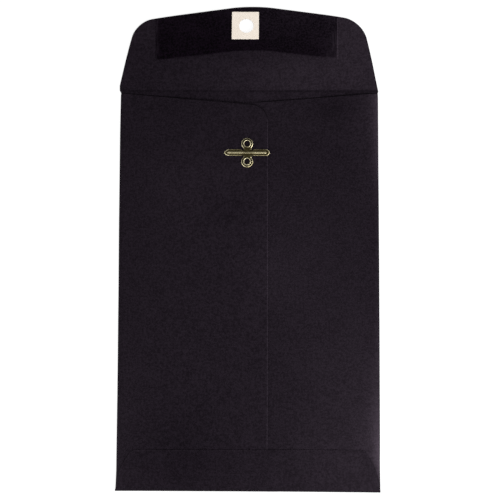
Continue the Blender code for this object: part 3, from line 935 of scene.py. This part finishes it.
def gum_marks(x, y):
    """Spread and painted light of the strip: it thins at its foot and both ends, is painted paler
    towards its top and right end, and has a painted highlight on its bead.
    """
    above = above_foot(x, y)
    bead = end_bead(x)
    right = smooth_step((x + 25) / 45)
    dry = smooth_step((x - GUM_RIGHT + 16) / 17) * (0.8 + 0.3 * smooth_step(1.4 - above / 12))
    thin = 0.55 * smooth_step((GUM_LEFT + 4.5 - x) / 4.5) + 0.5 * dry
    spread = min(1.0, max(0.0, above / 1.3)) * (1 - thin) * (1 - bead)
    lightness = (above / GUM_DEPTH) * (0.15 + 0.45 * right) + 0.15 * right + 0.4 * dry
    return spread, lightness + (BEAD_PAINTED_HIGHLIGHT - lightness) * bead


closure_gum = closure_gum_finish()
gum_sheet = cut_sheet([
    (GUM_LEFT, gable_y(GUM_LEFT, GUM_DEPTH, GUM_FOOT), 0),
    (FLAP_PEAK[0], FLAP_PEAK[1] - GUM_DEPTH, FLAP_PEAK_SETBACK),
    (GUM_RIGHT, gable_y(GUM_RIGHT, GUM_DEPTH, GUM_FOOT), 0),
    (GUM_RIGHT, gable_y(GUM_RIGHT, GUM_MARGIN, GUM_TOP), 0),
    (FLAP_PEAK[0], FLAP_PEAK[1] - GUM_MARGIN, FLAP_PEAK_SETBACK),
    (GUM_LEFT, gable_y(GUM_LEFT, GUM_MARGIN, GUM_TOP), 0),
])
end_lines = []
for offset in (0.4, 0.75, 1.0, 1.3, 1.6):
    end_lines += [GUM_LEFT + offset, GUM_RIGHT - offset]
rule(
    gum_sheet,
    hole_lines(steps(GUM_LEFT + 2, GUM_RIGHT - 2, 96), 0) + end_lines,
    hole_lines(steps(CREASE_Y + 18, CREASE_Y + 49, 30), 1),
)
punch(gum_sheet, HOLE_CENTRE, HOLE_SQUARE, HOLE_RADIUS)
spread, shine = new_marks(gum_sheet, "spread", "shine")
for vert, x, y in placed(gum_sheet.verts):
    vert[spread], vert[shine] = gum_marks(x, y)
closure_film = gum_film(
    "closure_gum_film", gum_sheet, closure_gum_height, "closure_gum", closure_gum,
)
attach(closure_film, "flap")


# Reinforcing patch
# A square of uncoated cream card, gummed over the strip and punched together with the flap, so
# that the clasp's prongs don't tear the paper.
PATCH_CARD = 0.2
PATCH_GAP = 0.03
PATCH_ROUND = 0.25
PATCH_CORNERS = ((-8.52, -7.94), (7.32, -7.88), (7.38, 8.23), (-8.35, 8.23))
CARD_TONES = ((0.83, 0.745, 0.645), (0.88, 0.80, 0.705))
CARD_TOOTH = 0.35


def cream_card_finish():
    """Uncoated card with a soft, fibrous mottle."""
    material, shader, place = new_finish("cream_card")
    specks = grain(place, 1800.0, 4.0)
    fibres = grain(place, 700.0, 4.0, stretch=(0.4, 1.0, 1.0))
    clouds = grain(place, 260.0, 2.0)
    mottle = (0.4 * specks + 0.3 * fibres + 0.3 * clouds).clear(0.38, 0.62)
    feed(shader, {
        "Base Color": mottle.blend(*CARD_TONES),
        "Roughness": 0.85,
        "Specular IOR Level": 0.25,
        "Normal": fibre_relief(specks, fibres, CARD_TOOTH),
    })
    return material


cream_card = cream_card_finish()
patch_sheet = cut_sheet(
    [(HOLE_CENTRE[0] + x, HOLE_CENTRE[1] + y, PATCH_ROUND) for x, y in PATCH_CORNERS], segments=3,
)
rule(
    patch_sheet,
    hole_lines(steps(-9, 6, 15), 0),
    hole_lines(steps(HOLE_CENTRE[1] - 8, HOLE_CENTRE[1] + 8, 16), 1),
)
punch(patch_sheet, HOLE_CENTRE, HOLE_SQUARE, HOLE_RADIUS)
for vert, x, y in placed(patch_sheet.verts):
    vert.co.z = (PAPER + GUM_FILM + PATCH_GAP + PATCH_CARD / 2 + flap_height(x, y)) * MM
trim(patch_sheet)
patch = sheet_piece("reinforcing_patch", patch_sheet, PATCH_CARD, (cream_card,))
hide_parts("flap_patch")
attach(patch, "flap")


# Clasp
# Stamped from thin brass sheet that has dulled: two eyelets, drawn through both panels and
# clinched inside the pocket, on a short neck. Edges are rolled down and rubbed bright.
CLASP_Z = 1.81
METAL = 0.28
LOBE_RADIUS = 3.36
LOBE_START = 2.4
BORE_RADIUS = 1.74
EYELET_WALL = 0.2
LIP_WIDTH, LIP_HEIGHT = 0.26, 0.28
RIM_WIDTH, RIM_DROP = 0.36, 0.1
CLINCH_Z = -0.94
CLINCH_RADIUS = 2.45
CLINCH_WALL = 0.2
EDGE_ROLL, EDGE_ROLL_DROP = 0.35, 0.2
RIB_Y = -0.12
RIB_HALF_WIDTH = 0.48
NECK_RIB, NECK_RIB_END = 0.24, 3
NECK_RISE = 0.004
BEND_OFFSET = 1.6
PRONG_TIP = 10.4
DULL_TONES = ((0.074, 0.059, 0.025), (0.122, 0.100, 0.042))
RUBBED_TONES = ((0.52, 0.465, 0.29), (0.65, 0.59, 0.39))
HOLLOW_TONE = (0.026, 0.021, 0.009)
SCRATCH_STRENGTH, SCRATCH_DEPTH = 0.25, 0.02


def dull_brass_finish():
    """Stained brass, bright where it is worn, dulled by painted shade where its rims face the key
    light, and dark in its hollows.
    """
    material, shader, place = new_finish("dull_brass")
    rub = carried(place, "rub")
    stain = grain(place, 900.0, 4.0)
    scratches = grain(place, 2500.0, 3.0, stretch=(0.15, 1.0, 1.0))
    stained = stain.clear(0.35, 0.65)
    bright = (rub + 0.5 * (stain - 0.5)).clear(0.1, 0.9)
    dull = (0.0 - rub).clear(0.0, 1.0).blend(stained.blend(*DULL_TONES), HOLLOW_TONE)
    feed(shader, {
        "Base Color": bright.blend(dull, stained.blend(*RUBBED_TONES)),
        "Metallic": 1.0,
        "Roughness": 0.42 - 0.04 * bright + 0.1 * (stain - 0.5),
        "Normal": relief(scratches, SCRATCH_STRENGTH, SCRATCH_DEPTH),
    })
    return material


dull_brass = dull_brass_finish()


def mark_brass_wear_and_light(piece):
    """Marks raised and rolled-down metal, which wear keeps bright and painted shade dulls towards
    the key light, and the lobes' hollows.
    """
    rub = piece.data.attributes.new("rub", "FLOAT", "POINT")
    for (vert, x, y), value in zip(placed(piece.data.vertices), rub.data):
        across, along, up = x - CLASP_X, y - CLASP_Y, vert.co.z / MM - CLASP_Z
        lobe = smooth_step((abs(along) - LOBE_START) / 0.5)
        tip = smooth_step((abs(across) - PRONG_TIP) / 1.2)
        # Painted shade on the upper lobe's side next to the neck.
        shaded = smooth_step((along - LOBE_START) / 0.5) * smooth_step((4.4 - along) / 1.2)
        raised = (0.65 + 0.35 * lobe) * (1 - 0.6 * shaded)
        raised *= smooth_step((up - METAL / 2 - 0.02) / (0.16 - 0.08 * lobe))
        # Painted shade dulls the rolled rims where they face the key light.
        from_middle = along - math.copysign(EYELET_OFFSET, along)
        towards_light = 0.6 * (x - EYELET_X) - 0.8 * from_middle
        key_side_dimming = (0.85 if along < 0 else 0.45) * smooth_step((towards_light - 1.0) / 1.6)
        # The tips' rolled ends are brightened; the right one is dulled by painted shade on its
        # lower side.
        tip_brightening = 0.85 if across < 0 else 0.14 + 0.42 * smooth_step((along + 0.5) / 1.3)
        rolled = 0.28 + 0.62 * lobe * (1 - key_side_dimming) + tip_brightening * tip
        rolled *= smooth_step((METAL / 2 - 0.005 - up) / 0.025)
        brightened = max(raised, rolled)
        hollow = 0.7 * lobe * max(0.0, 1 - 3 * brightened)
        value.value = brightened - hollow if up > -0.4 else 0.0


def eyelet_lobe(name, y):
    """Lobe and drawn eyelet, turned from one section: rolled lip, flat, rim, shank and clinch."""
    half = METAL / 2
    flat = LOBE_RADIUS - RIM_WIDTH
    shank = BORE_RADIUS + EYELET_WALL
    lip_middle = BORE_RADIUS + LIP_WIDTH
    lip = [
        (lip_middle + LIP_WIDTH * math.cos(angle), half + LIP_HEIGHT * math.sin(angle))
        for angle in steps(math.pi, 0, 10)
    ]
    rim = [
        (flat, half),
        (flat + 0.08, half - 0.03),
        (LOBE_RADIUS - 0.06, -half - 0.02),
        (LOBE_RADIUS, -half - RIM_DROP),
        (LOBE_RADIUS - 0.1, -half - RIM_DROP),
        (flat, -half),
    ]
    clinch = [
        (shank, -half),
        (shank, CLINCH_Z),
        (CLINCH_RADIUS, CLINCH_Z),
        (CLINCH_RADIUS, CLINCH_Z - CLINCH_WALL),
        (BORE_RADIUS, CLINCH_Z - CLINCH_WALL),
    ]
    metal = bmesh.new()
    section = [
        metal.verts.new(((EYELET_X + radius) * MM, (CLASP_Y + y) * MM, (CLASP_Z + z) * MM))
        for radius, z in lip + rim + clinch
    ]
    edges = [metal.edges.new((section[index - 1], vert)) for index, vert in enumerate(section)]
    bmesh.ops.spin(
        metal, geom=section + edges, cent=(EYELET_X * MM, (CLASP_Y + y) * MM, 0), axis=(0, 0, 1),
        angle=2 * math.pi, steps=56, use_merge=True,
    )
    bmesh.ops.remove_doubles(metal, verts=metal.verts, dist=TOUCHING)
    return new_piece(name, metal, (dull_brass,))


def stamped_sheet(corners, root_edges, rib_first, rib_last, rib_height):
    """Stamped strip: a sheet with its free edges rolled down and a rounded rib raised on it."""
    sheet = cut_sheet(corners, 6)
    rims = edge_ends(
        edge for edge in sheet.edges if not any(lies_at(edge, 0, root) for root in root_edges)
    )
    xs = [x for x, _, _ in corners]
    rule(sheet, steps(min(xs), max(xs), 48)[1:-1], steps(-2.9, 2.9, 58))
    for vert, x, y in placed(sheet.verts):
        past = max(rib_first - x, x - rib_last, 0.0)
        crown = max(0.0, 1 - ((y - RIB_Y) ** 2 + past * past) / RIB_HALF_WIDTH ** 2)
        rolled = max(0.0, 1 - edge_distance(vert.co, rims) / EDGE_ROLL) ** 2
        vert.co.z = (rib_height * crown ** 1.3 - EDGE_ROLL_DROP * rolled) * MM
    return sheet


neck_corners = [
    (-2.1, -3.0, 0), (2.1, -3.0, 0), (2.2, -1.9, 0),
    (BEND_OFFSET, -1.85, 0), (BEND_OFFSET, 2.0, 0),
    (2.2, 2.05, 0), (2.1, 3.0, 0), (-2.1, 3.0, 0), (-2.2, 2.05, 0),
    (-BEND_OFFSET, 2.0, 0), (-BEND_OFFSET, -1.85, 0), (-2.2, -1.9, 0),
]
neck_sheet = stamped_sheet(
    neck_corners, (-BEND_OFFSET, BEND_OFFSET), -NECK_RIB_END, NECK_RIB_END, NECK_RIB,
)
for vert in neck_sheet.verts:
    if abs(vert.co.y) > 2.3 * MM and abs(vert.co.x) < 1.7 * MM:
        vert.co.z = 0
bmesh.ops.translate(
    neck_sheet, verts=neck_sheet.verts,
    vec=(CLASP_X * MM, CLASP_Y * MM, (CLASP_Z + NECK_RISE) * MM),
)
clasp_plate = sheet_piece("clasp_plate", neck_sheet, METAL, (dull_brass,))
lobes = [eyelet_lobe("upper_lobe", EYELET_OFFSET), eyelet_lobe("lower_lobe", -EYELET_OFFSET)]
for lobe in lobes:
    joined = clasp_plate.modifiers.new("lobe", "BOOLEAN")
    joined.operation = "UNION"
    joined.solver = "EXACT"
    joined.object = lobe
settle(clasp_plate)
for lobe in lobes:
    bpy.data.objects.remove(lobe)
# The union leaves a sliver open where neck and lobe meet.
plate_metal = bmesh.new()
plate_metal.from_mesh(clasp_plate.data)
slits = [edge for edge in plate_metal.edges if edge.is_boundary]
bmesh.ops.holes_fill(plate_metal, edges=slits, sides=4)
plate_metal.to_mesh(clasp_plate.data)
plate_metal.free()
mark_brass_wear_and_light(clasp_plate)
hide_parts("clasp_base")
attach(clasp_plate, "envelope")


# Prongs
# The clasp's two arms of the same brass, stamped with a raised rib for stiffness and nicked at
# their roots. They lie flat here; to close the envelope they are bent up at the neck and passed
# through the flap's hole. The left tip is pointed and the right one round.
LEFT_PRONG, RIGHT_PRONG = 11.75, 11.05
PRONG_HALF_WIDTH = 1.72
PRONG_SHIFT = 0.08
PRONG_RIB, PRONG_RIB_START, PRONG_RIB_SETBACK = 0.36, -2, 2.2
PRONG_NICK, PRONG_NICK_DEPTH = 1.7, 0.62


def prong(name, side, length, tip, node):
    """Prong from its root at the neck to its tip; side is 1 right and -1 left."""
    corners = [
        (0, -PRONG_HALF_WIDTH, 0),
        *tip,
        (PRONG_NICK + 0.4, PRONG_HALF_WIDTH, 0),
        (PRONG_NICK, PRONG_HALF_WIDTH - PRONG_NICK_DEPTH, 0),
        (0, PRONG_HALF_WIDTH - PRONG_NICK_DEPTH, 0),
    ]
    sheet = stamped_sheet(corners, (0,), PRONG_RIB_START, length - PRONG_RIB_SETBACK, PRONG_RIB)
    for vert, x, _ in placed(sheet.verts):
        if vert.co.z > 0:
            vert.co.z *= 0.65 + 0.35 * smooth_step(x / 2.5)
        else:
            vert.co.z *= smooth_step((x - 1.0) / 1.2)
        vert.co.x *= side
    bend_x = CLASP_X + side * BEND_OFFSET
    bmesh.ops.translate(
        sheet, verts=sheet.verts, vec=(bend_x * MM, (CLASP_Y + PRONG_SHIFT) * MM, CLASP_Z * MM),
    )
    piece = sheet_piece(name, sheet, METAL, (dull_brass,))
    mark_brass_wear_and_light(piece)
    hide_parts(node)
    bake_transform(piece)


round_tip = ((RIGHT_PRONG, -PRONG_HALF_WIDTH, 1.8), (RIGHT_PRONG, PRONG_HALF_WIDTH, 1.8))
pointed_tip = (
    (LEFT_PRONG - 1.5, -PRONG_HALF_WIDTH, 0.8),
    (LEFT_PRONG, -0.6, 0.5),
    (LEFT_PRONG, 0.2, 0.5),
    (LEFT_PRONG - 1.9, PRONG_HALF_WIDTH, 0.8),
)
prong("right_clasp_prong", 1, RIGHT_PRONG, round_tip, "right_prong")
prong("left_clasp_prong", -1, LEFT_PRONG, pointed_tip, "left_prong")


# Studio
# White table under a pale tent, with a large soft light low at the lower right and a weak one at
# the left. Table and backdrop look plain white to the camera. Places here are in metres.
TABLE_HALF, TABLE_DROP = 3.0, 0.0001
TABLE_PAINT, TABLE_FAINT, TABLE_GLOW = 0.8, 0.25, 0.86
# Shares of the way up from the horizon, and how bright the tent is there.
TENT = ((0.0, 1.7), (0.35, 1.3), (0.7, 0.45), (1.0, 0.12))
TENT_LEAN = 0.4


def grey(level):
    """Neutral colour."""
    return (level, level, level)


def white_table_finish():
    """White paint that lights the piece from below, and glows white where the camera sees it."""
    material = bpy.data.materials.new("white_table")
    material.use_nodes = True
    tree = material.node_tree
    tree.nodes.clear()
    start = Shade(tree)
    camera_ray = start.node("ShaderNodeLightPath", {}, {}, "Is Camera Ray")
    glossy_ray = start.node("ShaderNodeLightPath", {}, {}, "Is Glossy Ray")
    clear_ray = start.node("ShaderNodeLightPath", {}, {}, "Is Transmission Ray")
    seen = start.math("MAXIMUM", start.math("MAXIMUM", camera_ray, glossy_ray), clear_ray)
    paint = start.node("ShaderNodeBsdfDiffuse", {}, {"Color": grey(TABLE_PAINT)})
    faint = start.node("ShaderNodeBsdfDiffuse", {}, {"Color": grey(TABLE_FAINT)})
    glow = start.node("ShaderNodeEmission", {}, {"Color": grey(1.0), "Strength": TABLE_GLOW})
    lit = start.node("ShaderNodeAddShader", {}, {0: faint, 1: glow})
    mixed = start.node("ShaderNodeMixShader", {}, {0: seen, 1: paint, 2: lit})
    feed(tree.nodes.new("ShaderNodeOutputMaterial"), {"Surface": mixed})
    return material


table_sheet = bmesh.new()
bmesh.ops.create_grid(
    table_sheet, x_segments=1, y_segments=1, size=TABLE_HALF,
    matrix=Matrix.Translation((0, 0, -TABLE_DROP)),
)
table = new_piece("table", table_sheet, (white_table_finish(),))

world = bpy.data.worlds.new("tent")
bpy.context.scene.world = world
world.use_nodes = True
world.node_tree.nodes.clear()
sky = Shade(world.node_tree)
direction = sky.node("ShaderNodeTexCoord", {}, {}, "Generated")
height = sky.node("ShaderNodeSeparateXYZ", {}, {"Vector": direction}, "Z")
away = sky.node("ShaderNodeSeparateXYZ", {}, {"Vector": direction}, "Y")
stops = [(share, grey(level)) for share, level in TENT]
tent = sky.node("ShaderNodeValToRGB", {"stops": stops}, {"Fac": height})
seen_ray = sky.node("ShaderNodeLightPath", {}, {}, "Is Camera Ray")
backdrop = seen_ray.blend(tent, grey(1.0))
strength = 1.0 - TENT_LEAN * away * (1.0 - seen_ray)
background = sky.node("ShaderNodeBackground", {}, {"Color": backdrop, "Strength": strength})
feed(world.node_tree.nodes.new("ShaderNodeOutputWorld"), {"Surface": background})


def soft_light(name, place, aim, size, power):
    """Rectangular soft light that faces a point on the envelope."""
    lamp = bpy.data.lights.new(name, "AREA")
    lamp.shape = "RECTANGLE"
    lamp.size, lamp.size_y = size
    lamp.energy = power
    holder = bpy.data.objects.new(name, lamp)
    holder.location = place
    holder.rotation_euler = (Vector(aim) - Vector(place)).to_track_quat("-Z", "Y").to_euler()
    bpy.context.scene.collection.objects.link(holder)


soft_light("key_light", (0.50, -0.36, 0.18), (0, -0.06, 0), (1.1, 0.34), 10.2)
soft_light("left_fill", (-0.45, -0.20, 0.10), (-0.05, -0.05, 0), (0.4, 0.25), 0.5)

camera_data = bpy.data.cameras.new("camera")
camera_data.lens = 49.8
camera_data.sensor_width = 36.0
camera = bpy.data.objects.new("camera", camera_data)
camera.location = (0.0033, -0.01925, 0.4)
tilt, pan, roll = (math.radians(angle) for angle in (2.407, 0.365, 0.252))
camera.rotation_euler = (
    Matrix.Rotation(tilt, 3, "X") @ Matrix.Rotation(pan, 3, "Y") @ Matrix.Rotation(roll, 3, "Z")
).to_euler()
bpy.context.scene.collection.objects.link(camera)
bpy.context.scene.camera = camera
bpy.context.scene.view_settings.view_transform = "Standard"
